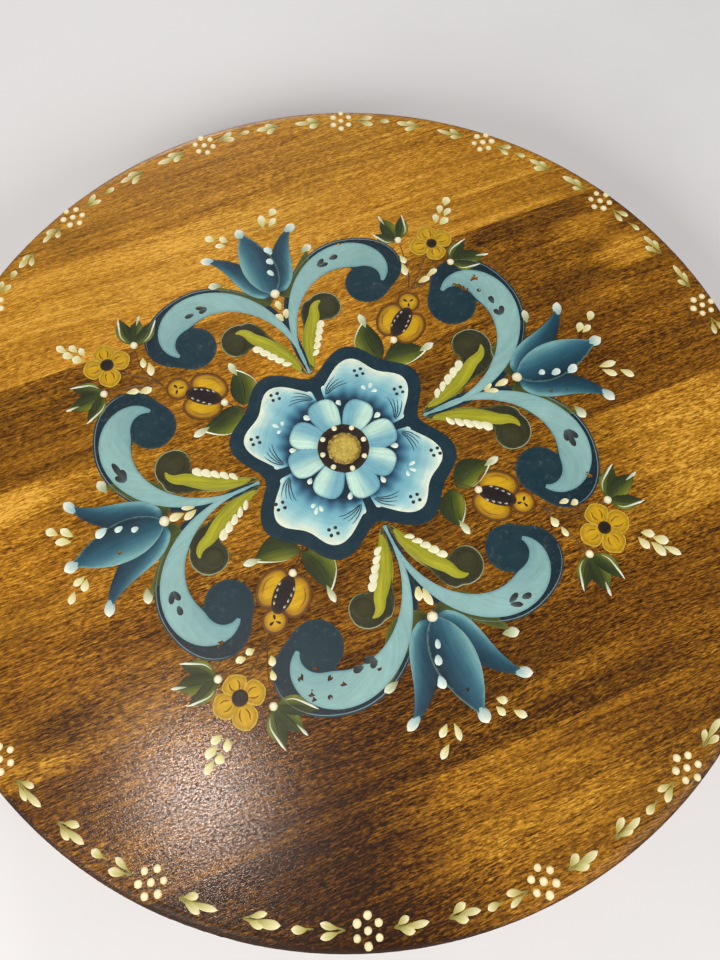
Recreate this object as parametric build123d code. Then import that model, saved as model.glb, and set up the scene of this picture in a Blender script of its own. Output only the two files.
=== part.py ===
from build123d import *
import math
import os

# Round wooden turntable (lazy Susan) with a rosemaled top, in millimetres.
# Frame: +Z up, +X along the grain of the top's boards, origin on the spin axis at the plane
# the rubber feet stand on. The painted decoration is a skin of paint and has no solids here.

# ---- driving dimensions -------------------------------------------------------------------
TOP_D = 406.4            # 16 inch top
TOP_T = 19.0             # three-quarter inch stock
TOP_EDGE_R = 5.5         # rounded over on both faces
TOP_JOINTS = [-143.0, -84.7, -26.5, 39.8, 90.3, 148.0]   # glue lines between the boards, along X

BASE_D = 241.0
BASE_T = 16.0
BASE_EDGE_R = 4.0
BASE_JOINTS = [-44.0, 16.0, 56.0]

FOOT_D = 22.0
FOOT_H = 4.0
FOOT_PCR = 106.0         # radius of the circle the four feet sit on
FOOT_HOLE_R = 2.2
FOOT_HEAD_R = 4.2        # counterbore for the foot screw's head
FOOT_SEAT = 1.6          # rubber left under the counterbore's floor, measured from the base

PLATE = 152.4            # 6 inch square swivel plate
PLATE_T = 1.2
PLATE_CORNER_R = 10.0
BEARING_H = 8.0
HOLE_OFF = 67.0          # plate corner holes at (+-67, +-67)
HOLE_R = 2.6
HUB_R = 38.0             # central opening of the lower plate
HUB_LIP_R = 43.4         # rolled lip that keeps the upper plate from lifting off
UPPER_IN_R = 40.2        # inner edge of the upper plate, under that lip
RACE_R = 57.0            # ball pitch radius
BALL_D = 4.76            # 3/16 inch balls
BALL_N = 24
GROOVE_R = 2.55          # groove radius the balls run in
CAGE_IN, CAGE_OUT, CAGE_T = 52.6, 61.4, 1.6

SCREW_R = 2.0
SCREW_CLEAR = 0.05
SCREW_HEAD_R = 3.9
SCREW_HEAD_H = 2.1
SCREW_L = 12.7
ACCESS_R = 9.5           # screwdriver access hole through the base

# ---- stack of heights ---------------------------------------------------------------------
Z_BASE = FOOT_H
Z_BEARING = Z_BASE + BASE_T
Z_TOP = Z_BEARING + BEARING_H
Z_END = Z_TOP + TOP_T
CORNERS = [(sx * HOLE_OFF, sy * HOLE_OFF) for sx in (-1, 1) for sy in (-1, 1)]
FEET = [(FOOT_PCR * math.cos(math.radians(a)), FOOT_PCR * math.sin(math.radians(a)))
        for a in (225, 315, 45, 135)]
ACCESS_X = math.hypot(HOLE_OFF, HOLE_OFF)

os.makedirs("parts", exist_ok=True)


def put(shape, name):
    shape.label = name
    export_step(shape, f"parts/{name}.step")


def cyl(r, z0, z1, x=0.0, y=0.0):
    return Pos(x, y, (z0 + z1) / 2) * Cylinder(r, z1 - z0)


def slab(y0, y1, z0, z1, half=400.0):
    return Pos(0, (y0 + y1) / 2, (z0 + z1) / 2) * Box(2 * half, y1 - y0, z1 - z0)


def spin(points):
    """A closed profile of (radius, height) points turned about Z."""
    wire = Polyline(*[(r, 0, z) for r, z in points], close=True)
    return revolve(make_face(wire), Axis.Z, 360)


def rounded_disc(d, z0, z1, r):
    """A flat disc whose two rims are rounded over."""
    R = d / 2
    s = math.sqrt(0.5) * r
    edge = [
        Line((0, 0, z0), (R - r, 0, z0)),
        ThreePointArc((R - r, 0, z0), (R - r + s, 0, z0 + r - s), (R, 0, z0 + r)),
        Line((R, 0, z0 + r), (R, 0, z1 - r)),
        ThreePointArc((R, 0, z1 - r), (R - r + s, 0, z1 - r + s), (R - r, 0, z1)),
        Line((R - r, 0, z1), (0, 0, z1)),
        Line((0, 0, z1), (0, 0, z0)),
    ]
    return revolve(make_face(Wire(edge)), Axis.Z, 360)


def boards(disc, joints, z0, z1, name):
    """Cuts the panel along its glue lines, board 1 at the -Y side."""
    lines = [-300.0] + joints + [300.0]
    for i in range(len(lines) - 1):
        piece = disc & slab(lines[i], lines[i + 1], z0 - 5, z1 + 5)
        put(piece.solids()[0], f"{name}_{i + 1}")


def wood_screw(x, y, z_seat, way, length, r, head_r, head_h):
    """A pan-head wood screw. z_seat is the face under its head; way is +1 if the shank points up."""
    shank_end = z_seat + way * (length - 3.0)
    body = cyl(r, min(z_seat, shank_end), max(z_seat, shank_end), x, y)
    tip = Pos(x, y, shank_end + way * 1.5) * (
        Cone(r, 0.35, 3.0) if way > 0 else Cone(0.35, r, 3.0))
    head_end = z_seat - way * head_h
    head = cyl(head_r, min(z_seat, head_end), max(z_seat, head_end), x, y)
    rim = head.faces().sort_by(Axis.Z)[0 if way > 0 else -1].edges()
    head = fillet(rim, head_h * 0.55)
    recess = Pos(x, y, head_end + way * 0.55) * (
        Box(4.0, 0.95, 1.1) + Box(0.95, 4.0, 1.1))
    return (body + tip + head) - recess


# ---- turntable top: seven edge-glued boards ------------------------------------------------
TOP_SEAT = Z_TOP - PLATE_T           # underside of the upper plate, where the heads bear
top = rounded_disc(TOP_D, Z_TOP, Z_END, TOP_EDGE_R)
for x, y in CORNERS:
    reach = TOP_SEAT + SCREW_L
    top -= cyl(SCREW_R + SCREW_CLEAR, Z_TOP - 1, reach - 2.9, x, y)
    top -= Pos(x, y, reach - 1.4) * Cone(SCREW_R + SCREW_CLEAR, 0.4, 3.0)
boards(top, TOP_JOINTS, Z_TOP, Z_END, "top_board")

# ---- base: four edge-glued boards ----------------------------------------------------------
BASE_SEAT = Z_BEARING + PLATE_T      # top of the lower plate, where the heads bear
base = rounded_disc(BASE_D, Z_BASE, Z_BEARING, BASE_EDGE_R)
for x, y in CORNERS:
    reach = BASE_SEAT - SCREW_L
    base -= cyl(SCREW_R + SCREW_CLEAR, reach + 2.9, Z_BEARING + 1, x, y)
    base -= Pos(x, y, reach + 1.4) * Cone(0.4, SCREW_R + SCREW_CLEAR, 3.0)
FOOT_SCREW_SEAT = Z_BASE - FOOT_SEAT
FOOT_SCREW_L = 10.0
FOOT_SCREW_R = 1.5
for x, y in FEET:
    base -= cyl(FOOT_SCREW_R + SCREW_CLEAR, Z_BASE - 1, FOOT_SCREW_SEAT + FOOT_SCREW_L - 2.9, x, y)
    base -= Pos(x, y, FOOT_SCREW_SEAT + FOOT_SCREW_L - 1.4) * Cone(FOOT_SCREW_R + SCREW_CLEAR, 0.4, 3.0)
base -= cyl(ACCESS_R, Z_BASE - 1, Z_BEARING + 1, ACCESS_X, 0)
boards(base, BASE_JOINTS, Z_BASE, Z_BEARING, "base_board")

# ---- rubber feet and their screws ----------------------------------------------------------
for i, (x, y) in enumerate(FEET):
    foot = cyl(FOOT_D / 2, 0, FOOT_H, x, y)
    low = foot.edges().filter_by(GeomType.CIRCLE).sort_by(Axis.Z)[0]
    foot = chamfer([low], 1.6)
    foot -= cyl(FOOT_HEAD_R, -1, FOOT_H - FOOT_SEAT, x, y)
    foot -= cyl(FOOT_HOLE_R, 0, FOOT_H + 1, x, y)
    put(foot.solids()[0], f"rubber_foot_{i + 1}")
foot_screws = Compound([
    wood_screw(x, y, FOOT_SCREW_SEAT, 1, FOOT_SCREW_L, FOOT_SCREW_R, 3.2, 1.5).solids()[0]
    for x, y in FEET])
put(foot_screws, "foot_screws")

# ---- swivel bearing ------------------------------------------------------------------------


def square_plate(z0):
    plate = Pos(0, 0, z0 + PLATE_T / 2) * Box(PLATE, PLATE, PLATE_T)
    plate = fillet(plate.edges().filter_by(Axis.Z), PLATE_CORNER_R)
    for x, y in CORNERS:
        plate -= cyl(HOLE_R, z0 - 1, z0 + PLATE_T + 1, x, y)
    return plate


z0, z1 = Z_BEARING, Z_TOP
ball_z = (z0 + z1) / 2
# lower plate: flat sheet, an annular shoulder that carries the ball groove, and a rolled hub lip
lower = square_plate(z0) - cyl(HUB_R + 6, z0 - 1, z0 + 3)
lower += spin([
    (HUB_R, z0), (HUB_R + 7, z0), (HUB_R + 7, z0 + PLATE_T), (HUB_R + PLATE_T, z0 + PLATE_T),
    (HUB_R + PLATE_T, z0 + 6.6), (HUB_LIP_R, z0 + 6.6), (HUB_LIP_R, z0 + 7.7),
    (HUB_R, z0 + 7.7)])
lower += spin([
    (RACE_R - 4.4, z0 + 0.6), (RACE_R + 4.4, z0 + 0.6), (RACE_R + 3.4, z0 + 2.9), (RACE_R - 3.4, z0 + 2.9)])
lower -= Pos(0, 0, ball_z) * Torus(RACE_R, GROOVE_R)
put(lower.solids()[0], "bearing_lower_plate")

# upper plate: flat sheet with its inner rim joggled down under the hub lip
upper = square_plate(z1 - PLATE_T) - cyl(UPPER_IN_R + 5.5, z0, z1 + 1)
upper += spin([
    (UPPER_IN_R, z1 - 2.9), (UPPER_IN_R + 4.7, z1 - 2.9), (UPPER_IN_R + 4.7, z1 - PLATE_T),
    (UPPER_IN_R + 7, z1 - PLATE_T), (UPPER_IN_R + 7, z1), (UPPER_IN_R + 3.6, z1),
    (UPPER_IN_R + 3.6, z1 - 1.8), (UPPER_IN_R, z1 - 1.8)])
upper += spin([
    (RACE_R - 4.4, z1 - 0.6), (RACE_R - 3.4, z1 - 2.9), (RACE_R + 3.4, z1 - 2.9), (RACE_R + 4.4, z1 - 0.6)])
upper -= Pos(0, 0, ball_z) * Torus(RACE_R, GROOVE_R)
put(upper.solids()[0], "bearing_upper_plate")

# balls and the ring that spaces them
ball_at = [(RACE_R * math.cos(2 * math.pi * i / BALL_N), RACE_R * math.sin(2 * math.pi * i / BALL_N))
           for i in range(BALL_N)]
balls = Compound([Pos(x, y, ball_z) * Sphere(BALL_D / 2) for x, y in ball_at])
put(balls, "bearing_balls")
cage = cyl(CAGE_OUT, ball_z - CAGE_T / 2, ball_z + CAGE_T / 2) - cyl(CAGE_IN, ball_z - 3, ball_z + 3)
for x, y in ball_at:
    cage -= cyl(BALL_D / 2 + 0.15, ball_z - 3, ball_z + 3, x, y)
put(cage.solids()[0], "ball_spacer_ring")

# ---- plate screws --------------------------------------------------------------------------
put(Compound([wood_screw(x, y, TOP_SEAT, 1, SCREW_L, SCREW_R, SCREW_HEAD_R, SCREW_HEAD_H).solids()[0]
              for x, y in CORNERS]), "top_plate_screws")
put(Compound([wood_screw(x, y, BASE_SEAT, -1, SCREW_L, SCREW_R, SCREW_HEAD_R, SCREW_HEAD_H).solids()[0]
              for x, y in CORNERS]), "base_plate_screws")
print("height", Z_END, "access hole at x", round(ACCESS_X, 2))
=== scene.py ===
import bpy, bmesh, math, random
import numpy as np
from mathutils import Vector, Matrix
from mathutils.geometry import delaunay_2d_cdt


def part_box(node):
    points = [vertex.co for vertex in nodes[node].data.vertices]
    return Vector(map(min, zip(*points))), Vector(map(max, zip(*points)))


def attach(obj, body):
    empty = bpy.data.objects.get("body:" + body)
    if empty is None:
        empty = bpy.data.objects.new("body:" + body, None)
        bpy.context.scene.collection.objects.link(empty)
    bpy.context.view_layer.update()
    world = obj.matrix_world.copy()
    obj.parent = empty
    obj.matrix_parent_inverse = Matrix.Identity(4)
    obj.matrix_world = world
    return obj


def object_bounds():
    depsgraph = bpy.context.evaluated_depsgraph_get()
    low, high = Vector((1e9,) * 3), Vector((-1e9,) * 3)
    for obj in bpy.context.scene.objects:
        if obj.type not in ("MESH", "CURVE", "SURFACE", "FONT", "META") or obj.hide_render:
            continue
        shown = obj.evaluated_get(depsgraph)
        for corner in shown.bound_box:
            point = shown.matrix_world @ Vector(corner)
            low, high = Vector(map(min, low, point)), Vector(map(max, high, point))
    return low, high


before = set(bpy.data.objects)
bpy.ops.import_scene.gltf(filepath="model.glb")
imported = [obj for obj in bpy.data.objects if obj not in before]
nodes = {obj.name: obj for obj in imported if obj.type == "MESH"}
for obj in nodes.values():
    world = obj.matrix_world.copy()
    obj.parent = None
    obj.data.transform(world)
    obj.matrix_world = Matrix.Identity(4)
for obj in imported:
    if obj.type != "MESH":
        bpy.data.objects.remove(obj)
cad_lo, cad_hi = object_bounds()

MM = 0.001
top_lo, top_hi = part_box("top_board_4")
Z_FACE = cad_hi.z            # the painted face
R_TOP = (cad_hi.x - cad_lo.x) / 2

# ---------------------------------------------------------------- camera
CAM_POS = (-0.04125, -0.10513, 0.35318)
CAM_R = (0.92647, -0.37620, 0.010985)
CAM_U = (0.35479, 0.88275, 0.30800)
CAM_B = (-0.12557, -0.28146, 0.95132)
cam_data = bpy.data.cameras.new("camera")
cam = bpy.data.objects.new("camera", cam_data)
bpy.context.collection.objects.link(cam)
cam_data.sensor_width = 36.0
cam_data.lens = 26.25
cam_data.dof.use_dof = False
cam.matrix_world = Matrix((
    (CAM_R[0], CAM_U[0], CAM_B[0], CAM_POS[0]),
    (CAM_R[1], CAM_U[1], CAM_B[1], CAM_POS[1]),
    (CAM_R[2], CAM_U[2], CAM_B[2], CAM_POS[2]),
    (0, 0, 0, 1)))
cam_data.clip_start = 0.01
cam_data.clip_end = 50
bpy.context.scene.camera = cam


def lin(r, g, b):
    """sRGB 0-255 to linear."""
    out = []
    for c in (r, g, b):
        c = c / 255.0
        out.append(c / 12.92 if c <= 0.04045 else ((c + 0.055) / 1.055) ** 2.4)
    return tuple(out)


# ---------------------------------------------------------------- node helper
class Mat:
    """Short hand for building one node material."""
    def __init__(self, name):
        self.m = bpy.data.materials.new(name)
        self.m.use_nodes = True
        self.t = self.m.node_tree
        self.t.nodes.clear()
        self.out = self.t.nodes.new("ShaderNodeOutputMaterial")
        self.b = self.t.nodes.new("ShaderNodeBsdfPrincipled")
        self.t.links.new(self.b.outputs[0], self.out.inputs["Surface"])

    def node(self, kind, **props):
        n = self.t.nodes.new(kind)
        for k, v in props.items():
            setattr(n, k, v)
        return n

    def put(self, sock, v):
        if isinstance(v, bpy.types.NodeSocket):
            self.t.links.new(v, sock)
        elif v is not None:
            sock.default_value = v

    def math(self, op, a, b=None, c=None, clamp=False):
        n = self.node("ShaderNodeMath", operation=op, use_clamp=clamp)
        self.put(n.inputs[0], a)
        self.put(n.inputs[1], b)
        self.put(n.inputs[2], c)
        return n.outputs[0]

    def vec(self, op, a, b=None, s=None):
        n = self.node("ShaderNodeVectorMath", operation=op)
        self.put(n.inputs[0], a)
        self.put(n.inputs[1], b)
        if s is not None:
            self.put(n.inputs["Scale"], s)
        return n.outputs["Value"] if op in ("LENGTH", "DOT_PRODUCT", "DISTANCE") else n.outputs[0]

    def co(self, scale=1000.0, offset=(0, 0, 0)):
        """Object position in millimetres, moved by offset."""
        tc = self.node("ShaderNodeTexCoord")
        n = self.node("ShaderNodeMapping")
        self.put(n.inputs["Vector"], tc.outputs["Object"])
        n.inputs["Scale"].default_value = (scale,) * 3
        n.inputs["Location"].default_value = offset
        return n.outputs[0]

    def stretch(self, v, sx, sy, sz, loc=(0, 0, 0), rot=0.0):
        n = self.node("ShaderNodeMapping")
        self.put(n.inputs["Vector"], v)
        n.inputs["Scale"].default_value = (sx, sy, sz)
        n.inputs["Location"].default_value = loc
        n.inputs["Rotation"].default_value = (0, 0, rot)
        return n.outputs[0]

    def noise(self, v, scale=1.0, detail=2.0, rough=0.5, dist=0.0):
        n = self.node("ShaderNodeTexNoise")
        self.put(n.inputs["Vector"], v)
        n.inputs["Scale"].default_value = scale
        n.inputs["Detail"].default_value = detail
        n.inputs["Roughness"].default_value = rough
        n.inputs["Distortion"].default_value = dist
        return n.outputs["Fac"]

    def voro(self, v, scale=1.0, feature="F1", rand=1.0):
        n = self.node("ShaderNodeTexVoronoi", feature=feature)
        self.put(n.inputs["Vector"], v)
        n.inputs["Scale"].default_value = scale
        n.inputs["Randomness"].default_value = rand
        return n

    def remap(self, v, a, b, c=0.0, d=1.0, smooth=False):
        n = self.node("ShaderNodeMapRange", clamp=True,
                      interpolation_type="SMOOTHSTEP" if smooth else "LINEAR")
        self.put(n.inputs["Value"], v)
        self.put(n.inputs["From Min"], a)
        self.put(n.inputs["From Max"], b)
        self.put(n.inputs["To Min"], c)
        self.put(n.inputs["To Max"], d)
        return n.outputs[0]

    def ramp(self, v, stops, interp="LINEAR"):
        n = self.node("ShaderNodeValToRGB")
        self.put(n.inputs[0], v)
        r = n.color_ramp
        r.interpolation = interp
        while len(r.elements) < len(stops):
            r.elements.new(1.0)
        for e, (p, c) in zip(r.elements, stops):
            e.position = p
            e.color = (*c, 1.0) if len(c) == 3 else c
        return n.outputs[0]

    def mix(self, f, a, b, mode="MIX"):
        n = self.node("ShaderNodeMix", data_type="RGBA", blend_type=mode)
        self.put(n.inputs[0], f)
        self.put(n.inputs[6], (*a, 1.0) if isinstance(a, tuple) and len(a) == 3 else a)
        self.put(n.inputs[7], (*b, 1.0) if isinstance(b, tuple) and len(b) == 3 else b)
        return n.outputs[2]

    def split(self, v):
        n = self.node("ShaderNodeSeparateXYZ")
        self.put(n.inputs[0], v)
        return n.outputs

    def bump(self, h, strength=0.3, dist=0.0002, normal=None):
        n = self.node("ShaderNodeBump")
        n.inputs["Strength"].default_value = strength
        n.inputs["Distance"].default_value = dist
        self.put(n.inputs["Height"], h)
        if normal is not None:
            self.put(n.inputs["Normal"], normal)
        return n.outputs[0]

    def set(self, **kw):
        for k, v in kw.items():
            self.put(self.b.inputs[k.replace("_", " ")], v)
        return self.m


# ---------------------------------------------------------------- wood
# stain colours, from deepest to palest
STAIN = [(0.00, lin(36, 17, 2)), (0.15, lin(66, 36, 3)), (0.32, lin(100, 63, 8)),
         (0.50, lin(136, 91, 17)), (0.68, lin(170, 119, 29)), (0.85, lin(202, 150, 48)),
         (1.00, lin(226, 176, 74))]


def wood(name, seed, tones, patches=(), length=203.2, pith=(0.0, -70.0), figure=1.0,
         rough=0.38):
    """Stained, varnished board with its grain along X.
    tones: how pale the board is along its length, as (x mm, tone 0-1); on the top boards this holds painted light and
    shade as well as the stain's own variation.
    patches: soft paler or darker spots, as (x, y, half length, half width, change)."""
    w = Mat(name)
    P = w.co()
    rnd = random.Random(seed)
    off = tuple(rnd.uniform(-400, 400) for _ in range(3))
    Q = w.vec("ADD", P, off)
    # slow waviness of the grain
    wave = w.noise(w.stretch(Q, 0.007, 0.02, 0.02), 1.0, 2.0, 0.5)
    wob = w.node("ShaderNodeCombineXYZ")
    w.put(wob.inputs[1], w.math("MULTIPLY_ADD", wave, 14.0, -7.0))
    G = w.vec("ADD", Q, wob.outputs[0])
    fibre = w.noise(w.stretch(G, 0.050, 2.4, 2.4), 1.0, 4.0, 0.62)
    streak = w.noise(w.stretch(G, 0.012, 0.42, 0.42), 1.0, 3.0, 0.55)
    band = w.noise(w.stretch(G, 0.0035, 0.075, 0.075), 1.0, 2.0, 0.5)
    dash = w.noise(w.stretch(G, 0.26, 1.5, 1.5), 1.0, 3.0, 0.66, 0.3)
    curl = w.noise(w.stretch(G, 0.42, 1.25, 1.25, rot=0.12), 1.0, 3.0, 0.6, 0.2)
    blotch = w.noise(w.stretch(Q, 0.016, 0.034, 0.034), 1.0, 3.0, 0.55, 0.4)
    # growth rings round a heart below the board
    s = w.split(G)
    dy = w.math("SUBTRACT", s[1], off[1] + pith[0])
    dz = w.math("SUBTRACT", s[2], off[2] + pith[1])
    rr = w.math("SQRT", w.math("ADD", w.math("MULTIPLY", dy, dy), w.math("MULTIPLY", dz, dz)))
    ring = w.math("SINE", w.math("MULTIPLY", rr, 2.1))
    # tone along the board
    px = w.split(P)
    u = w.remap(w.math("ADD", px[0], w.math("MULTIPLY_ADD", blotch, 50.0, -25.0)),
                -length, length)
    stops = [((x + length) / (2 * length), (t, t, t)) for x, t in tones]
    tone = w.split(w.ramp(u, stops, "B_SPLINE" if len(stops) > 4 else "EASE"))[0]
    for (cx, cy, rx, ry, amt) in patches:
        d = w.vec("LENGTH", w.stretch(P, 1 / rx, 1 / ry, 0.0, (-cx / rx, -cy / ry, 0)))
        d = w.math("ADD", d, w.math("MULTIPLY_ADD", blotch, 0.9, -0.45))
        d = w.math("ADD", d, w.math("MULTIPLY_ADD", streak, 0.5, -0.25))
        tone = w.math("ADD", tone, w.remap(d, 0.35, 1.25, amt * 0.85, 0.0, True))
    # dark dashes are strongest where the stain is patchy
    amt = w.remap(blotch, 0.34, 0.62, 1.15, 0.7)
    grit = w.noise(w.stretch(G, 0.42, 1.9, 1.9), 1.0, 3.0, 0.7, 0.2)
    hairs = w.noise(w.stretch(G, 0.03, 1.2, 1.2), 1.0, 3.0, 0.6)
    d1 = w.math("MULTIPLY", w.remap(dash, 0.42, 0.60, 0.14 * figure, -0.22 * figure), amt)
    d2 = w.math("MULTIPLY", w.remap(curl, 0.38, 0.62, 0.10 * figure, -0.14 * figure), amt)
    for term in (d1, d2,
                 w.remap(fibre, 0.25, 0.75, 0.13, -0.13),
                 w.remap(grit, 0.32, 0.68, 0.15, -0.15),
                 w.remap(hairs, 0.55, 0.70, 0.0, -0.15),
                 w.remap(streak, 0.3, 0.7, 0.10, -0.10),
                 w.remap(band, 0.3, 0.7, 0.055, -0.055),
                 w.remap(blotch, 0.3, 0.7, 0.06, -0.08),
                 w.math("MULTIPLY", ring, 0.022)):
        tone = w.math("ADD", tone, term)
    # cut ends drink more stain, and the turned edge is darkened the more it slopes away from the top, part stain and
    # part painted shade
    tc = w.node("ShaderNodeTexCoord")
    nx = w.split(tc.outputs["Normal"])
    side = w.remap(w.math("ABSOLUTE", nx[2]), 0.55, 0.985, 0.34, 0.0)
    side = w.math("MULTIPLY", side, w.math("MULTIPLY_ADD", w.math("ABSOLUTE", nx[0]), 0.3, 1.0))
    tone = w.math("SUBTRACT", tone, side)
    colour = w.ramp(tone, STAIN)
    # pores: short thin dark flecks
    pore = w.noise(w.stretch(G, 0.22, 3.6, 3.6), 1.0, 1.0, 0.5)
    pf = w.remap(pore, 0.66, 0.74, 0.0, 0.55)
    colour = w.mix(pf, colour, lin(40, 20, 6))
    # a little orange against olive drift in the stain
    hue = w.noise(w.stretch(Q, 0.01, 0.02, 0.02, (31, 7, 3)), 1.0, 2.0)
    colour = w.mix(w.remap(hue, 0.35, 0.7, 0.0, 0.22), colour,
                   w.mix(1.0, colour, lin(255, 214, 150), "MULTIPLY"))
    ro = w.math("ADD", w.remap(fibre, 0.2, 0.8, rough - 0.07, rough + 0.09),
                w.remap(blotch, 0.3, 0.7, -0.03, 0.04))
    h = w.math("ADD", w.math("MULTIPLY", fibre, 0.6),
               w.math("ADD", w.math("MULTIPLY", dash, 0.7), w.math("MULTIPLY", pf, -0.8)))
    peel = w.noise(P, 0.9, 4.0, 0.75)
    h = w.math("ADD", h, w.math("MULTIPLY", peel, 1.2))
    flat = w.math("ABSOLUTE", nx[2])
    ro = w.math("ADD", ro, w.remap(flat, 0.5, 0.98, 0.30, 0.0))
    fleck = w.noise(w.stretch(P, 0.75, 1.15, 1.15), 1.0, 3.0, 0.75)
    gloss = w.math("MULTIPLY", w.remap(flat, 0.985, 0.9995), w.remap(fleck, 0.42, 0.58, 0.05, 1.0))
    return w.set(Base_Color=colour, Roughness=ro, IOR=1.48, Coat_Weight=gloss, Coat_IOR=1.5,
                 Specular_IOR_Level=0.13,
                 Coat_Roughness=0.18, Normal=w.bump(h, 0.45, 0.00012),
                 Coat_Normal=w.bump(w.noise(w.stretch(P, 1.1, 1.7, 1.7), 1.0, 2.0, 0.6), 1.0, 0.00005))


# Paleness along each top board, nearest board first: the stain's own variation mixed with painted light and shade,
# paler up the far boards and darkest at the near left.
TOP_STAIN_AND_LIGHT = [
    [(-203, 0.10), (-60, 0.11), (-38, 0.26), (-14, 0.64), (40, 0.58), (75, 0.46), (203, 0.42)],
    [(-203, 0.34), (-120, 0.34), (-60, 0.22), (0, 0.36), (60, 0.34), (120, 0.44), (203, 0.5)],
    [(-203, 0.52), (-120, 0.47), (-30, 0.40), (60, 0.42), (110, 0.52), (145, 0.86), (203, 0.52)],
    [(-203, 0.60), (-140, 0.62), (-60, 0.55), (40, 0.42), (110, 0.38), (150, 0.42), (203, 0.48)],
    [(-203, 0.40), (-120, 0.46), (-60, 0.60), (10, 0.80), (60, 0.62), (110, 0.35), (203, 0.48)],
    [(-203, 0.68), (-130, 0.82), (-60, 0.86), (0, 0.80), (60, 0.78), (120, 0.74), (203, 0.58)],
    [(-203, 0.62), (-100, 0.66), (-30, 0.66), (30, 0.66), (80, 0.70), (120, 0.62), (203, 0.5)],
]
TOP_PATCHES = [
    [(-10, -190, 60, 10, -0.10), (35, -160, 40, 8, 0.08)],
    [(60, -128, 60, 8, 0.05), (-100, -100, 70, 12, 0.03)],
    [(150, -52, 26, 16, 0.07), (60, -70, 50, 6, -0.10), (-152, -68, 24, 9, -0.22), (-152, -44, 20, 7, 0.12)],
    [(-156, 33, 30, 9, 0.34), (150, 32, 20, 6, 0.10), (125, 5, 40, 16, -0.06)],
    [(163, 72, 22, 10, 0.32), (174, 50, 18, 11, 0.40), (-95, 78, 22, 9, -0.12), (100, 84, 40, 7, -0.12), (30, 45, 50, 6, 0.06)],
    [(-110, 122, 60, 12, 0.06), (30, 103, 60, 5, 0.05), (150, 104, 30, 6, -0.10)],
    [(0, 178, 60, 10, -0.06), (-40, 160, 50, 7, 0.08)],
]
for i in range(7):
    n = nodes["top_board_%d" % (i + 1)]
    lo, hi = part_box("top_board_%d" % (i + 1))
    mat = wood("stained_maple_%d" % (i + 1), 11 + 7 * i, TOP_STAIN_AND_LIGHT[i], TOP_PATCHES[i],
               figure=(1.0, 1.0, 1.0, 0.9, 0.8, 0.65, 0.65)[i],
               pith=((lo.y + hi.y) / 2 / MM + (-9, 7, 14, -12, 5, -6, 10)[i],
                     (-55, -90, -48, -120, -60, -80, -52)[i]))
    n.data.materials.clear()
    n.data.materials.append(mat)

# ---------------------------------------------------------------- hidden hardware
BASE_TONES = [(-125, 0.34), (-60, 0.44), (0, 0.38), (70, 0.46), (125, 0.36)]
for i in range(4):
    n = nodes["base_board_%d" % (i + 1)]
    n.data.materials.clear()
    n.data.materials.append(wood("stained_base_%d" % (i + 1), 90 + 5 * i, BASE_TONES,
                                 length=125.0, pith=(-60 + 40 * i, -60), rough=0.42))


def rubber():
    m = Mat("black_rubber")
    P = m.co()
    n1 = m.noise(P, 0.35, 4.0, 0.6)
    n2 = m.noise(P, 3.2, 2.0, 0.5)
    c = m.mix(m.remap(n1, 0.3, 0.7), lin(22, 22, 23), lin(44, 43, 42))
    c = m.mix(m.remap(n2, 0.6, 0.75, 0.0, 0.3), c, lin(80, 76, 70))
    return m.set(Base_Color=c, Roughness=m.remap(n1, 0.3, 0.7, 0.62, 0.8),
                 Normal=m.bump(n2, 0.3, 0.0001))


def metal(name, lo, hi, tint, rough, grain, turned=False):
    m = Mat(name)
    P = m.co()
    n1 = m.noise(P, 0.12, 4.0, 0.6)
    n2 = m.noise(m.stretch(P, grain, 3.0, 3.0), 1.0, 3.0, 0.6)
    v = m.voro(P, 0.28)
    c = m.mix(m.remap(n1, 0.3, 0.7), lin(*lo), lin(*hi))
    c = m.mix(m.remap(v.outputs["Distance"], 0.1, 0.9, 0.0, 0.25), c, lin(*tint))
    c = m.mix(m.remap(n2, 0.6, 0.8, 0.0, 0.35), c, lin(*[0.6 * k for k in lo]))
    return m.set(Base_Color=c, Metallic=1.0, Roughness=m.remap(n1, 0.3, 0.7, rough, rough + 0.16),
                 Normal=m.bump(n2, 0.25, 0.00006))


def nylon():
    m = Mat("nylon_ring")
    P = m.co()
    n1 = m.noise(P, 0.15, 3.0)
    n2 = m.noise(P, 2.4, 2.0)
    c = m.mix(m.remap(n1, 0.3, 0.7), lin(206, 202, 186), lin(228, 226, 214))
    c = m.mix(m.remap(n2, 0.62, 0.78, 0.0, 0.3), c, lin(150, 140, 118))
    return m.set(Base_Color=c, Roughness=m.remap(n2, 0.3, 0.7, 0.4, 0.55), Normal=m.bump(n2, 0.2, 0.0001))


RUBBER = rubber()
ZINC = metal("zinc_plate", (150, 152, 154), (196, 198, 200), (172, 176, 186), 0.34, 0.08)
SCREW = metal("screw_steel", (120, 116, 104), (168, 160, 138), (150, 136, 100), 0.36, 0.4)
BALL = metal("ball_steel", (170, 172, 176), (214, 216, 220), (190, 194, 200), 0.12, 0.6)
NYLON = nylon()
for key, mat in (("rubber_foot_1", RUBBER), ("rubber_foot_2", RUBBER), ("rubber_foot_3", RUBBER),
                 ("rubber_foot_4", RUBBER), ("foot_screws", SCREW), ("top_plate_screws", SCREW),
                 ("base_plate_screws", SCREW), ("bearing_lower_plate", ZINC),
                 ("bearing_upper_plate", ZINC), ("bearing_balls", BALL), ("ball_spacer_ring", NYLON)):
    nodes[key].data.materials.clear()
    nodes[key].data.materials.append(mat)

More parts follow.
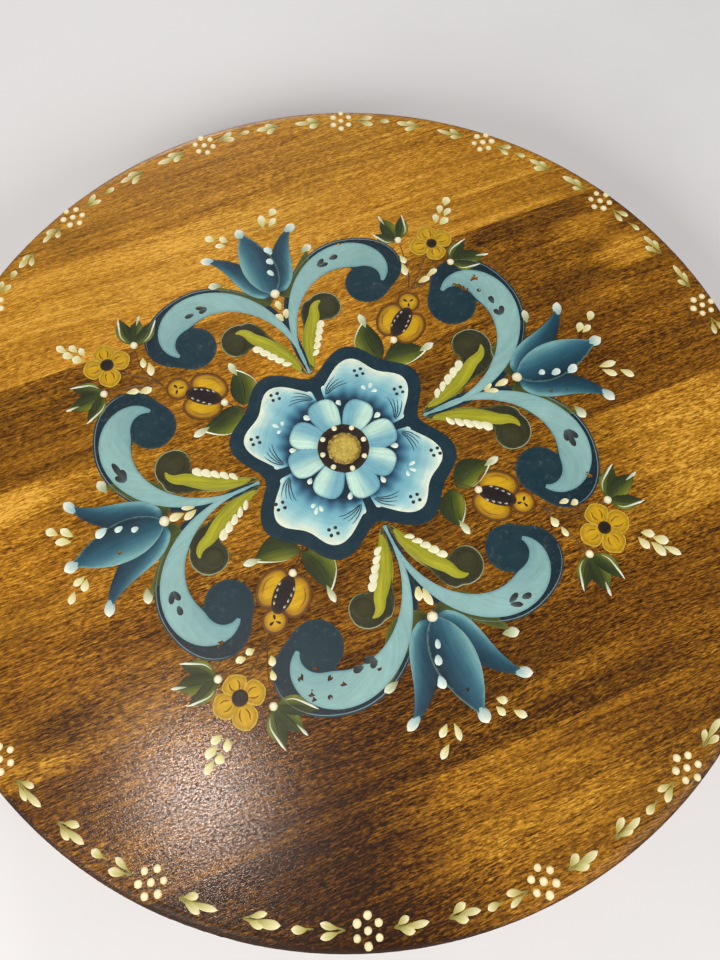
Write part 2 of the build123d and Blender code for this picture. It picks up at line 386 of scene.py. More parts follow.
# ---------------------------------------------------------------- brush work, in mm
Z0 = Z_FACE / MM
CTR = np.array((-2.3, 2.9))
rng = np.random.default_rng(17)
NAVY, NAVY2 = (16, 48, 58), (9, 33, 44)
BLUE = (130, 170, 168)
OLIVE, YG = (50, 53, 28), (150, 146, 44)
YEL, BROWN, DARK = (205, 158, 12), (110, 66, 12), (35, 27, 22)
CREAM = (233, 234, 206)


def lina(c):
    c = np.clip(np.asarray(c, float), 0, 255) / 255.0
    return np.where(c <= 0.04045, c / 12.92, ((c + 0.055) / 1.055) ** 2.4)


def mixc(a, b, t):
    t = np.clip(np.asarray(t, float), 0, 1)[..., None]
    return np.asarray(a, float) * (1 - t) + np.asarray(b, float) * t


def stops(t, pairs):
    xs = [p[0] for p in pairs]
    return np.stack([np.interp(t, xs, [p[1][k] for p in pairs]) for k in range(3)], -1)


def polar(a, r, c=(0, 0)):
    a = np.radians(np.asarray(a, float))
    return np.stack([c[0] + r * np.cos(a), c[1] + r * np.sin(a)], -1)


def curve(P, step=0.8, closed=False):
    P = np.asarray(P, float)
    n = len(P)
    out = []
    for i in range(n if closed else n - 1):
        p1, p2 = P[i], P[(i + 1) % n]
        p0 = P[i - 1] if (closed or i > 0) else 2 * p1 - p2
        p3 = P[(i + 2) % n] if (closed or i + 2 < n) else 2 * p2 - p1
        m = max(1, int(np.hypot(*(p2 - p1)) / step))
        t = (np.arange(m) / m)[:, None]
        out.append(0.5 * (2 * p1 + (p2 - p0) * t + (2 * p0 - 5 * p1 + 4 * p2 - p3) * t ** 2
                          + (3 * p1 - p0 - 3 * p2 + p3) * t ** 3))
    if not closed:
        out.append(P[-1:])
    return np.vstack(out)


def inside(p, poly):
    x, y = p[:, :1], p[:, 1:2]
    a, b = poly, np.roll(poly, -1, 0)
    dy = b[:, 1] - a[:, 1]
    dy = np.where(np.abs(dy) < 1e-9, 1e-9, dy)
    hit = ((a[:, 1] > y) != (b[:, 1] > y)) & (x < (b[:, 0] - a[:, 0]) * (y - a[:, 1]) / dy + a[:, 0])
    return hit.sum(1) % 2 == 1


def edge_dist(p, poly):
    a, b = poly, np.roll(poly, -1, 0)
    d = b - a
    L = np.maximum((d ** 2).sum(1), 1e-9)
    t = np.clip(((p[:, None] - a) * d).sum(2) / L, 0, 1)
    return np.sqrt((((a + t[..., None] * d) - p[:, None]) ** 2).sum(2).min(1))


class Paint:
    """One painted layer: many raised strokes in one closed mesh."""
    all = []

    def __init__(self, name, **look):
        self.name, self.look = name, look
        self.v, self.f, self.c, self.w, self.n = [], [], [], [], 0
        Paint.all.append(self)

    def add(self, v, f, c, w):
        self.v.append(np.asarray(v, float))
        self.c.append(lina(c))
        self.w.append(np.asarray(w, float))
        self.f += [tuple(int(i) + self.n for i in t) for t in f]
        self.n += len(v)

    def blob(self, outline, z, colour, flow=None, step=1.2, edge=0.7, chips=(), sharp=False,
             rim=0.84):
        out = np.asarray(outline, float) if sharp else curve(outline, 0.8, True)
        lo, hi = out.min(0), out.max(0)
        gx, gy = np.meshgrid(np.arange(lo[0], hi[0], step), np.arange(lo[1], hi[1], step * 0.87))
        gx = gx + (np.arange(gx.shape[0]) % 2)[:, None] * step / 2
        g = np.stack([gx.ravel(), gy.ravel()], 1) + rng.uniform(-0.12, 0.12, (gx.size, 2)) * step
        g = g[inside(g, out)]
        if len(g):
            g = g[edge_dist(g, out) > 0.42 * step]
        pts = [Vector(p) for p in out] + [Vector(p) for p in g]
        n = len(out)
        vs, _, fs, *_ = delaunay_2d_cdt(pts, [(i, (i + 1) % n) for i in range(n)], [], 1, 1e-5)
        V = np.array([tuple(p) for p in vs])
        T = np.array([t for t in fs if len(t) == 3])
        cen = V[T].mean(1)
        keep = inside(cen, out)
        for (cx, cy, rx, ry, ang) in chips:
            q = cen - (cx, cy)
            ca, sa = math.cos(math.radians(ang)), math.sin(math.radians(ang))
            u = (q[:, 0] * ca + q[:, 1] * sa) / rx
            w = (-q[:, 0] * sa + q[:, 1] * ca) / ry
            th = np.arctan2(w, u)
            wob = 1 + 0.24 * np.sin(3 * th + cx) + 0.16 * np.sin(7 * th + cy)
            keep &= np.hypot(u, w) > wob
        T = T[keep]
        used = np.unique(T)
        idx = -np.ones(len(V), int)
        idx[used] = np.arange(len(used))
        V, T = V[used], idx[T]
        a, b, c = V[T[:, 0]], V[T[:, 1]], V[T[:, 2]]
        flip = ((b - a)[:, 0] * (c - a)[:, 1] - (b - a)[:, 1] * (c - a)[:, 0]) < 0
        T[flip] = T[flip][:, ::-1]
        d = edge_dist(V, out)
        h = rim + (1 - rim) * (1 - (1 - np.clip(d / edge, 0, 1)) ** 2)
        N = len(V)
        top = np.column_stack([V, Z0 + z * h])
        bot = np.column_stack([V, np.full(N, Z0 - 0.03)])
        E = np.concatenate([T[:, [0, 1]], T[:, [1, 2]], T[:, [2, 0]]])
        have = {(int(i), int(j)) for i, j in E}
        wall = [(j, i, i + N, j + N) for i, j in have if (j, i) not in have]
        col = colour(V, d)
        fl = flow(V) if flow else V
        self.add(np.vstack([top, bot]), [tuple(t) for t in T] + [tuple(t[::-1] + N) for t in T] + wall,
                 np.vstack([col, col]), np.vstack([fl, fl]))

    def stroke(self, P, hw, z, c0, c1=None, step=0.8, edgec=None):
        """Tapered ridge along P; hw lists half widths spread evenly along it."""
        C = curve(P, step)
        if len(C) < 5:
            C = curve(P, max(0.1, np.hypot(*(np.asarray(P[-1]) - np.asarray(P[0]))) / 6))
        L = np.concatenate([[0], np.cumsum(np.hypot(*np.diff(C, axis=0).T))])
        s = L / max(L[-1], 1e-6)
        wd = np.maximum(np.interp(s, np.linspace(0, 1, len(hw)), hw), 0.03)
        t = np.gradient(C, axis=0)
        t /= np.maximum(np.hypot(t[:, 0], t[:, 1]), 1e-9)[:, None]
        nrm = np.stack([-t[:, 1], t[:, 0]], 1)
        us = np.array([-1, -0.7, -0.3, 0.3, 0.7, 1.0])
        prof = np.array([0, 0.66, 1.0, 1.0, 0.66, 0])
        fade = np.clip(wd / (0.6 * max(hw)), 0.35, 1)
        v, col, fl = [], [], []
        c1 = c0 if c1 is None else c1
        for k, u in enumerate(us):
            zz = Z0 + z * prof[k] * fade if 0 < k < 5 else np.full(len(C), Z0 - 0.03)
            v.append(np.column_stack([C + nrm * (wd * u)[:, None], zz]))
            cc = mixc(c0, c1, s)
            if edgec is not None:
                cc = mixc(cc, edgec, np.full(len(C), 0.55 * abs(u)))
            col.append(cc)
            fl.append(np.column_stack([L, np.full(len(C), u * max(hw))]))
        n, m = len(C), len(us)
        f = [(k * n + i, k * n + i + 1, (k + 1) * n + i + 1, (k + 1) * n + i)[::-1]
             for k in range(m - 1) for i in range(n - 1)]
        f = [q[::-1] for q in f]
        f = [(q[0], q[3], q[2], q[1])[::-1] for q in f]
        f += [(i, (m - 1) * n + i, (m - 1) * n + i + 1, i + 1) for i in range(n - 1)]
        f += [tuple(k * n for k in range(m))[::-1], tuple(k * n + n - 1 for k in range(m))]
        self.add(np.vstack(v), f, np.vstack(col), np.vstack(fl))

    def drop(self, tail, head, hw, z, c_head=CREAM, c_tail=None, bend=0.0):
        """One comma stroke, thin at the tail and round at the head."""
        a, b = np.asarray(tail, float), np.asarray(head, float)
        d = b - a
        L = max(np.hypot(*d), 0.5)
        nn = np.array((-d[1], d[0])) / L
        m = (a + b) / 2 + nn * bend * L
        e = b + d / L * hw * 0.55
        j = 1 + rng.uniform(-0.1, 0.1)
        self.stroke([a, m, e], [hw * j * k for k in
                    (0.08, 0.3, 0.5, 0.68, 0.84, 0.95, 1.0, 0.98, 0.86, 0.6, 0.06)], z,
                    c_tail or c_head, c_head, step=0.55)

    def dot(self, c, r, z, colour, edgec=None):
        k = 14
        a = np.linspace(0, 360, k, endpoint=False) + rng.uniform(0, 20)
        wob = 1 + rng.uniform(-0.05, 0.05, k)
        rings = [(0.35, 1.0), (0.72, 0.86), (0.93, 0.5), (1.0, None)]
        v = [np.array([[c[0], c[1], Z0 + z]])]
        col = [np.array([colour])]
        for q, h in rings:
            p = polar(a, r * q * wob, c)
            v.append(np.column_stack([p, np.full(k, Z0 - 0.03 if h is None else Z0 + z * h)]))
            col.append(np.tile(mixc(colour, edgec or colour, np.array([q ** 3]))[0], (k, 1)))
        f = [(0, 1 + i, 1 + (i + 1) % k) for i in range(k)]
        for ring in range(len(rings) - 1):
            o, p = 1 + ring * k, 1 + (ring + 1) * k
            f += [(o + i, p + i, p + (i + 1) % k, o + (i + 1) % k) for i in range(k)]
        o = 1 + (len(rings) - 1) * k
        f.append(tuple(o + i for i in range(k))[::-1])
        V = np.vstack(v)
        self.add(V, f, np.vstack(col), V[:, :2])

    def build(self):
        me = bpy.data.meshes.new(self.name)
        me.from_pydata((np.vstack(self.v) * MM).tolist(), [], self.f)
        col = np.vstack(self.c)
        at = me.attributes.new("Col", "FLOAT_COLOR", "POINT")
        at.data.foreach_set("color", np.column_stack([col, np.ones(len(col))]).ravel())
        at = me.attributes.new("flow", "FLOAT_VECTOR", "POINT")
        fl = np.vstack(self.w)
        at.data.foreach_set("vector", np.column_stack([fl, np.zeros(len(fl))]).ravel())
        me.update()
        bm = bmesh.new()
        bm.from_mesh(me)
        bmesh.ops.recalc_face_normals(bm, faces=bm.faces)
        bm.to_mesh(me)
        bm.free()
        for p in me.polygons:
            p.use_smooth = False
        o = bpy.data.objects.new(self.name, me)
        bpy.context.collection.objects.link(o)
        me.materials.append(oil_paint(self.name + "_paint", **self.look))
        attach(o, "turntable")
        return o


def oil_paint(name, streak=0.14, speck=0.5, rough=0.44, worn=0.0):
    m = Mat(name)
    P = m.co()
    col = m.node("ShaderNodeAttribute", attribute_name="Col").outputs["Color"]
    fl = m.node("ShaderNodeAttribute", attribute_name="flow").outputs["Vector"]
    hair = m.noise(m.stretch(fl, 0.10, 2.2, 1), 1.0, 3.0, 0.6)
    wide = m.noise(m.stretch(fl, 0.045, 0.5, 1), 1.0, 2.0, 0.5)
    cloud = m.noise(P, 0.16, 4.0, 0.6)
    k = m.math("ADD", m.remap(hair, 0.25, 0.75, 1 - streak, 1 + streak),
               m.remap(wide, 0.3, 0.7, -streak * 0.6, streak * 0.6))
    k = m.math("ADD", k, m.remap(cloud, 0.3, 0.7, -0.06, 0.06))
    kk = m.node("ShaderNodeCombineXYZ")
    for i in range(3):
        m.put(kk.inputs[i], k)
    c = m.mix(1.0, col, kk.outputs[0], "MULTIPLY")
    grit = m.noise(P, 2.1, 3.0, 0.65)
    c = m.mix(m.remap(grit, 0.66, 0.74, 0.0, speck), c, lin(92, 66, 34))
    dust = m.noise(m.vec("ADD", P, (31.0, 7.0, 3.0)), 1.6, 3.0, 0.7)
    c = m.mix(m.remap(dust, 0.68, 0.78, 0.0, speck * 0.6), c, lin(190, 190, 170))
    if worn:
        scuff = m.noise(P, 0.30, 5.0, 0.75)
        c = m.mix(m.remap(scuff, 0.56, 0.70, 0.0, worn), c, lin(104, 118, 116))
    h = m.math("ADD", m.math("MULTIPLY", hair, 0.7), m.math("MULTIPLY", grit, 0.3))
    return m.set(Base_Color=c, Roughness=m.remap(cloud, 0.3, 0.7, rough - 0.06, rough + 0.08),
                 IOR=1.46, Normal=m.bump(h, 0.35, 0.00006))


# ---- motif shapes, drawn once in their own frames
def frame2(root, tip, length, side):
    """Similarity that sends (0,0) to root and (length,0) to tip; side mirrors."""
    r, t = np.asarray(root, float), np.asarray(tip, float)
    d = (t - r) / length
    M = np.array([[d[0], -d[1] * side], [d[1], d[0] * side]])
    return lambda p: r + np.atleast_2d(np.asarray(p, float)) @ M.T


# C scroll: a logarithmic spiral into an eye at (60, 0), with a sine width
T_END = 250.0


def spiral(t):
    return 60.0 * np.exp(-np.asarray(t, float) / 105.0)


def swell(t):
    return 0.5 + 9.0 * np.sin(np.pi * np.clip(np.asarray(t, float) / T_END, 0, 1) ** 1.14) ** 1.25


def margin(t):
    t = np.asarray(t, float)
    return 1.0 + 1.7 * np.clip(t / 45, 0, 1) + 6.0 * np.sin(np.pi * np.clip((t - 120) / 170, 0, 1)) ** 2


def eye_edge(t):
    t = np.asarray(t, float)
    a = np.maximum(spiral(t) - swell(t), 0.1)
    e = 11.0 - 4.6 * np.clip((t - 105) / 135, 0, 1) ** 2
    return np.where(t < 75, a, np.minimum((a ** 7 + e ** 7) ** (1 / 7), spiral(t) + swell(t) - 0.25))


def ground(t):
    """Outer edge of the dark ground, blending into the round eye."""
    a = np.where(np.asarray(t) < T_END + 40, spiral(t) + swell(t) + margin(t), 0)
    return (a ** 6 + 11.6 ** 6) ** (1 / 6)


def scroll_pts(turns, radii):
    t = np.asarray(turns, float)
    return polar(180 - t, np.asarray(radii, float), (60, 0))


# green curl: a tighter spiral that runs into a small eye at (41.4, 0)
T_HOOK = 150.0


def small(t):
    t = np.asarray(t, float)
    e = 9.2 - 4.2 * np.clip(t / T_HOOK, 0, 1.2) ** 1.6
    return ((41.4 * np.exp(-t / 25.0)) ** 4 + e ** 4) ** 0.25


def small_hw(t):
    return 0.3 + 3.9 * np.sin(np.pi * np.clip(np.asarray(t, float) / T_HOOK, 0, 1) ** 0.55) ** 0.9


def small_ground(t):
    t = np.asarray(t, float)
    a = small(t) + small_hw(t) + 0.8 + 3.0 * np.clip(t / 20, 0, 1)
    b = 8.0 + 4.0 * np.clip((240 - t) / 135, 0, 1) ** 1.3
    return np.where(t < 100, np.maximum(a, b), b)


def bezier(a, b, c, d, n=13):
    t = np.linspace(0, 1, n)[:, None]
    a, b, c, d = (np.asarray(p, float) for p in (a, b, c, d))
    return (1 - t) ** 3 * a + 3 * t * (1 - t) ** 2 * b + 3 * t * t * (1 - t) * c + t ** 3 * d


def lens(mid, hw, p=0.9, q=0.85):
    """Closed outline of half width hw*sin round a centre line."""
    sn = np.linspace(0, 1, len(mid))
    w = hw * np.sin(np.pi * sn ** p) ** q
    w[0] = w[-1] = 0.12
    t = np.gradient(mid, axis=0)
    t /= np.hypot(t[:, 0], t[:, 1])[:, None]
    n = np.stack([-t[:, 1], t[:, 0]], 1)
    return np.vstack([mid + n * w[:, None], (mid - n * w[:, None])[::-1][1:-1]])


ARMS = [1.7, 90.8, 181.8, 274.7]
CURLS = [[(78.5, -41.2), (77.1, 54.8)], [(41.9, 81.2), (-50.8, 78.3)],
         [(-81.4, 46.3), (-74.9, -45.9)], [(-46.2, -77.1), (49, -69)]]
GCURLS = [[(73.9, -20.0), (74.6, 30.4)], [(18.2, 75.6), (-30.5, 72.8)],
          [(-77.4, 24.2), (-74.9, -23.7)], [(-21.2, -69.7), (28.6, -67.2)]]
navy = Paint("navy_scrolls", streak=0.10, speck=0.3, worn=0.28)
blue = Paint("blue_scrolls", streak=0.09, speck=0.55)
olive = Paint("olive_curls", streak=0.16, speck=0.5, worn=0.10)
lime = Paint("green_comma_bodies", streak=0.32, speck=0.3)
lines = Paint("fine_lines", streak=0.2, speck=0.3)
beads = Paint("cream_beads", streak=0.10, speck=0.15)
SCROLL_CHIPS = [(85, 61.5, 4.6, 1.0, -49), (93.5, 63.9, 1.9, 1.5, 30), (92.4, 56.3, 0.9, 0.7, 0),
                (98.2, -52.1, 1.1, 1.4, 20), (-103.1, -52.4, 0.9, 1.0, 0), (-83.8, -60.1, 1.4, 1.0, 40),
                (-56.8, -86.4, 1.5, 1.0, 20), (-49.4, -85.5, 1.1, 0.8, 0), (-55, -93.8, 1.5, 0.7, 60),
                (-45.5, -91, 0.9, 1.3, 10), (-41.2, -95.6, 1.3, 0.8, 0), (-48.2, -98.1, 1.1, 0.7, 0),
                (-54.7, -96.2, 1.2, 0.6, 80), (-25.2, -95.6, 1.0, 0.7, 0), (37.2, 107.6, 1.0, 0.6, 0)]
for k in range(4):
    for q in range(2):
        side = -1 if q == 0 else 1
        a = math.radians(ARMS[k])
        root = CTR + 41.8 * np.array((math.cos(a), math.sin(a))) + 0.5 * side * np.array((-math.sin(a), math.cos(a)))
        K = np.array(CURLS[k][q])
        F = frame2(root, K, 60.0, -side)
        sc = np.hypot(*(K - root)) / 60.0
        # which way the scroll must turn so it bulges away from the arm's far side
        near = [0, 1.2, 3, 5.5, 8.5]
        t1 = np.concatenate([near, np.arange(12, 361, 12)])
        tin = np.concatenate([near, np.arange(12, 120, 12)])
        rin = spiral(tin) - swell(tin)
        tin, rin = tin[rin > 11.9], rin[rin > 11.9]
        t2 = np.arange(372, 360 + tin[-1] + 6, 12)
        outer = np.vstack([scroll_pts(t1, ground(t1)), scroll_pts(t2, np.full(len(t2), 11.6))])
        shape = F(np.vstack([outer, scroll_pts(tin[::-1], rin[::-1])[:-1]]))

        def flow(V, K=K):
            d = V - K
            r = np.hypot(d[:, 0], d[:, 1])
            return np.column_stack([np.arctan2(d[:, 1], d[:, 0]) * 12, r])

        def cn(V, d, K=K):
            r = np.hypot(*(V - K).T)
            return mixc(mixc(NAVY, NAVY2, (r - 6) / 20), (66, 92, 96), np.clip(1 - d / 0.6, 0, 1) * 0.35)
        navy.blob(shape, 0.13 + 0.025 * q, cn, flow, chips=SCROLL_CHIPS)
        tb = np.concatenate([[0, 0.7, 1.8, 3.2, 5.2], np.arange(8, 237, 8)])
        ho, hi_ = scroll_pts(tb, spiral(tb) + swell(tb)), scroll_pts(tb, eye_edge(tb))

        def cb(V, d, K=K):
            r = np.hypot(*(V - K).T)
            c = mixc(BLUE, (116, 158, 160), np.sin(r * 0.21) * 0.5 + 0.4)
            c = mixc(c, (96, 142, 148), 1 - np.clip(d / 1.0, 0, 1))
            return mixc(c, (165, 205, 198), np.clip((r - 19) / 12, 0, 1) * 0.3)
        blue.blob(F(np.vstack([ho, hi_[::-1][1:]])), 0.24 + 0.035 * q, cb, flow, chips=SCROLL_CHIPS)
        edge = F(scroll_pts(np.arange(50, 226, 12), ground(np.arange(50, 226, 12)) - 0.9))
        lines.stroke(edge, [0.05, 0.22, 0.3, 0.3, 0.22, 0.05], 0.20, (96, 122, 126), (118, 142, 144))
        # small curl under the arm
        groot = CTR + 42.4 * np.array((math.cos(a), math.sin(a))) + 2.3 * side * np.array((-math.sin(a), math.cos(a)))
        GK = np.array(GCURLS[k][q])
        G = frame2(groot, GK, 41.4, -side)
        tg = np.concatenate([[0, 1.2, 2.5, 4, 6, 8.5, 11.5, 15, 19, 24, 30, 37, 45], np.arange(55, 361, 12)])
        gs = np.vstack([polar(180 - tg, small_ground(tg), (41.4, 0)), [(31.8, 2.6), (27, 3.4), (20, 3.2), (11, 1.7), (5, 0.8), (1.8, 0.3), (0.3, 0.0)]])

        def co(V, d, GK=GK):
            r = np.hypot(*(V - GK).T)
            c = mixc((66, 66, 34), (40, 42, 24), r / 9)
            return mixc(c, (112, 118, 66), (1 - np.clip(d / 0.5, 0, 1)) * 0.6)

        def fg(V, GK=GK):
            d = V - GK
            return np.column_stack([np.arctan2(d[:, 1], d[:, 0]) * 8, np.hypot(d[:, 0], d[:, 1])])
        olive.blob(G(gs), 0.165 + 0.02 * q, co, fg, step=1.1)
        tw = np.array([0, 1.5, 3, 5, 7.5, 10.5, 14, 18, 23, 29, 36, 45, 56, 70, 86, 104, 126, 150])
        lime.stroke(G(polar(180 - tw, small(tw), (41.4, 0))),
                    (0.3 + 4.0 * np.sin(np.pi * np.linspace(0, 1, 20) ** 1.05) ** 0.85).tolist(), 0.36 + 0.03 * q, (150, 150, 30), (170, 166, 36),
                    edgec=(112, 118, 28))
        olive.blob(G(polar(np.arange(0, 360, 20), 5.3, (41.6, -0.5))), 0.46,
                   lambda V, d: mixc((46, 48, 24), (58, 58, 30), d / 5), fg, step=1.1)
        ring = polar(180 - np.arange(70, 352, 12), small_ground(np.arange(70, 352, 12)) - 0.3, (41.4, 0))
        lines.stroke(G(ring), [0.1, 0.28, 0.3, 0.3, 0.28, 0.1], 0.24, (150, 160, 132), (128, 138, 98))
        for j in range(5):
            x0 = 8.0 + 4.5 * j
            beads.drop(G((x0, 2.8 + 0.2 * j))[0], G((x0 + 5.0, 0.2 + 0.3 * j))[0], (1.5 + 0.2 * j) * sc, 0.46,
                       (228, 228, 196), (214, 214, 176))

# ---- bloom
bloom = Paint("bloom_ground", streak=0.10, speck=0.2, worn=0.10)
petals = Paint("bloom_petals", streak=0.10, speck=0.10)
rosette = Paint("inner_petals", streak=0.16, speck=0.12)
heart = Paint("flower_heart", streak=0.2, speck=0.8, rough=0.5)
TH0 = 1.9


def bloom_r(de):
    de = np.radians(np.asarray(de, float))
    return 48.2 + 5.4 * np.cos(4 * de) - 3.9 * np.cos(8 * de)


def petal_r(de):
    return bloom_r(np.abs(de) * 45 / 41.5) - 6.6


ang = np.arange(0, 360, 2.5)
dl = np.abs(((ang - TH0) % 90) - 45)
bloom.blob(polar(ang, bloom_r(dl), CTR), 0.34,
           lambda V, d: mixc((10, 40, 54), (12, 44, 56), np.clip((np.hypot(*(V - CTR).T) - 26) / 22, 0, 1)),
           lambda V: np.column_stack([np.arctan2(*(V - CTR).T[::-1]) * 30, np.hypot(*(V - CTR).T)]),
           step=1.5)
PSTOPS = [(0.0, (26, 54, 76)), (0.10, (48, 98, 124)), (0.30, (104, 164, 182)), (0.56, (130, 184, 194)),
          (0.78, (168, 206, 206)), (0.92, (202, 220, 206)), (1.0, (216, 226, 208))]
for k in range(4):
    mid_a = TH0 + 45 + 90 * k
    da = np.arange(-40.5, 40.6, 3)
    out = polar(mid_a + da, petal_r(da), CTR)
    inn = polar(mid_a + da[::-1], np.full(len(da), 24.5), CTR)

    def cp(V, d, mid_a=mid_a):
        q = V - CTR
        r = np.hypot(q[:, 0], q[:, 1])
        de = np.abs((np.degrees(np.arctan2(q[:, 1], q[:, 0])) - mid_a + 180) % 360 - 180)
        t = (r - 25.5) / np.maximum(petal_r(np.minimum(de, 41)) - 25.5, 2)
        t = t - 0.10 * np.clip((de - 25) / 14, 0, 1) + 0.04 * np.sin(de * 0.5)
        return stops(t, PSTOPS)
    petals.blob(np.vstack([out, inn]), 0.42, cp,
                lambda V: np.column_stack([np.arctan2(*(V - CTR).T[::-1]) * 34, np.hypot(*(V - CTR).T)]),
                step=1.0, rim=0.9)
    for s_ in (-1, 1):
        for j in range(4):
            lines.stroke(polar(mid_a + s_ * np.array([39.5 - 0.5 * j, 36 - 1.8 * j, 30.5 - 3.0 * j, 24.5 - 4.0 * j]),
                               np.array([27.2 + 0.2 * j, 31.6 - 0.4 * j, 35.4 - 0.9 * j, 38.6 - 1.5 * j]), CTR),
                         [0.15, 0.52, 0.5, 0.3, 0.06], 0.52, (16, 36, 54), (60, 96, 112))
IN_A = [0.3, 46.6, 96, 141, 181, 228.5, 277, 318]
for k, a0 in enumerate(IN_A):
    u = np.linspace(-1, 1, 27)
    R0 = 25.8 if k % 2 == 0 else 25.0
    o = polar(a0 + 23.4 * u, 12 + (R0 + 0.6 - 12) * (1 - np.abs(u) ** 3.4) ** 0.55, CTR)
    base = polar(a0 + 22 * np.array([0.6, 0, -0.6]), np.full(3, 10.8), CTR)

    def ci(V, d, a0=a0, k=k):
        q = V - CTR
        de = (np.degrees(np.arctan2(q[:, 1], q[:, 0])) - a0 + 180) % 360 - 180
        r = np.hypot(q[:, 0], q[:, 1])
        sg = 1 if k in (0, 3, 4, 7) else -1
        c = mixc((112, 168, 184), (186, 221, 207), 0.5 + sg * de / 16)
        c = mixc(c, (96, 150, 168), np.clip((15 - r) / 4, 0, 1) * 0.5)
        return mixc(c, (70, 118, 138), (1 - np.clip(d / 0.8, 0, 1)) * 0.65)
    rosette.blob(np.vstack([o, base]), 0.50 + 0.012 * (k % 3), ci,
                 lambda V, a0=a0: np.column_stack([np.hypot(*(V - CTR).T), np.arctan2(*(V - CTR).T[::-1]) * 24]),
                 step=0.9, edge=0.9, rim=0.9)
CB = np.array((-2.2, 2.6))
heart.blob(polar(np.arange(0, 360, 10), 12.1, CB), 0.60,
           lambda V, d: mixc((44, 28, 14), (26, 17, 12), np.clip(d / 3, 0, 1)))
heart.blob(polar(np.arange(0, 360, 12), 7.9 + 0.3 * np.sin(np.arange(0, 360, 12) * 0.3), (-1.9, 2.4)), 0.70,
           lambda V, d: mixc(mixc((84, 62, 14), (172, 148, 60), np.clip(d / 2.4, 0, 1)),
                             (206, 186, 96), rng.uniform(0, 1, len(V)) ** 3), step=0.7, rim=0.9)
for p in [(-2.6, 13.4), (5.1, 10.7), (8.15, 3.3), (5.5, -4.5), (-1.9, -8), (-9.9, -4.3), (-12.3, 3.1), (-9.55, 10.2)]:
    beads.dot(p, 1.55, 0.86, (231, 230, 196), (190, 180, 136))
for h, t in [((4, 25.7), (4.6, 23.3)), ((19.7, 12.6), (16.8, 11.6)), ((21.5, -5.3), (18.5, -4.4)),
             ((9.3, -19.3), (8.7, -16.3)), ((-8.4, -21), (-6.7, -18.1)), ((-22.9, -7.2), (-21.2, -5.3)),
             ((-25.3, 10.5), (-22.5, 9.9)), ((-13.3, 24), (-11, 21.6))]:
    beads.drop(t, h, 1.6, 0.85, (228, 236, 220), (170, 200, 196))
for hs, t in [([(17.9, 28.8), (22.4, 28.6), (23.2, 24.4)], (19.3, 25.2)), ([(-28.5, 25.7), (-24.2, 25.5), (-27.8, 21.2)], (-25, 22.5)),
              ([(-25.9, -18.3), (-25.5, -22.1), (-22.3, -21.7)], (-22.5, -17.6)), ([(25.7, -15.9), (24.7, -19.8), (20.8, -20.8)], (21, -16.8))]:
    for h in hs:
        beads.drop(np.array(t) + 0.25 * (np.array(h) - np.array(t)), h, 1.3, 0.65, (232, 240, 224), (160, 200, 198))
seeds = Paint("dark_seeds", streak=0.25, speck=0.3)
for c in [(19.1, 36.4), (33.2, 20.3), (-22.8, 39), (-39, 21.3), (37, -14.9), (19.2, -32.1), (-39, -12.7), (-21.1, -32.7)]:
    for dx, dy in ((-1.6, 1.4), (1.5, 1.3), (-1.5, -1.4), (1.6, -1.5)):
        seeds.dot((c[0] + dx, c[1] + dy), 1.1, 0.56, (34, 40, 40), (60, 80, 84))

# ---- three dark commas on each scroll: heads of the three and where their tails meet
for hs, t in [([(96.2, 50.5)], (96.3, 46)), ([(95.3, 42.8), (99.1, 43.4)], (97.2, 38.6)),
              ([(96.9, -32.3), (101.9, -32.7), (98.9, -36.3)], (98.8, -26.9)),
              ([(25.6, 102.2), (26.9, 99.3)], (21.4, 99.2)), ([(33, 101.6)], (28.4, 101.4)),
              ([(-48.8, 95.9)], (-44, 96.3)), ([(-42.4, 98.8), (-41.5, 95.9)], (-37, 96.9)),
              ([(-103.8, 35), (-100.7, 30.2), (-103.9, 27.9)], (-100.4, 23.8)),
              ([(-97.8, -36), (-94.2, -35.6)], (-95.8, -30.6)), ([(-95.4, -42)], (-95.5, -37.6)),
              ([(-34.6, -92.4)], (-30, -92)), ([(-29.2, -90.2), (-27.2, -93.4)], (-23.8, -91.3)),
              ([(43, -88.8), (43, -93.6)], (37.6, -91.4)), ([(48.3, -91.2)], (43.6, -91.2))]:
    for h in hs:
        seeds.drop(t, h, 1.9, 0.42, (34, 32, 30), (70, 92, 96))

# ---- tulips
tul = Paint("tulip_petals", streak=0.17, speck=0.3)
tulm = Paint("tulip_middle", streak=0.19, speck=0.3)
leaf = Paint("leaves", streak=0.26, speck=0.4)
SIDE_MID = bezier((1, 0.5), (6.5, 11.5), (23.5, 8.5), (36.5, 26))
SIDE = lens(SIDE_MID, 6.7, 0.70, 0.75)
MID = lens(bezier((0, 0), (14, 0.6), (30, 0.6), (44, 0)), 9.5, 0.82, 0.8)
SEP = lens(bezier((0, 0.5), (-7, 15), (7, 20), (18, 28.0)), 5.8, 0.8)
TUL = [((89.5, 5.6), 1.6, 1.0, 4.0), ((-3.5, 92.5), 94.6, 0.90, 96.4), ((-89.9, 0.1), 185.0, 0.99, 185.3),
       ((4.8, -84.0), 271.4, 1.01, 274.0)]
TCHIPS = [(101.5, -7, 1.0, 0.6, 30), (109.6, -8.9, 1.2, 0.6, 0), (6.3, -117.1, 1.0, 0.6, 0), (21.6, -116.5, 0.8, 1.0, 0),
          (-112, -6.4, 0.9, 0.6, 0)]
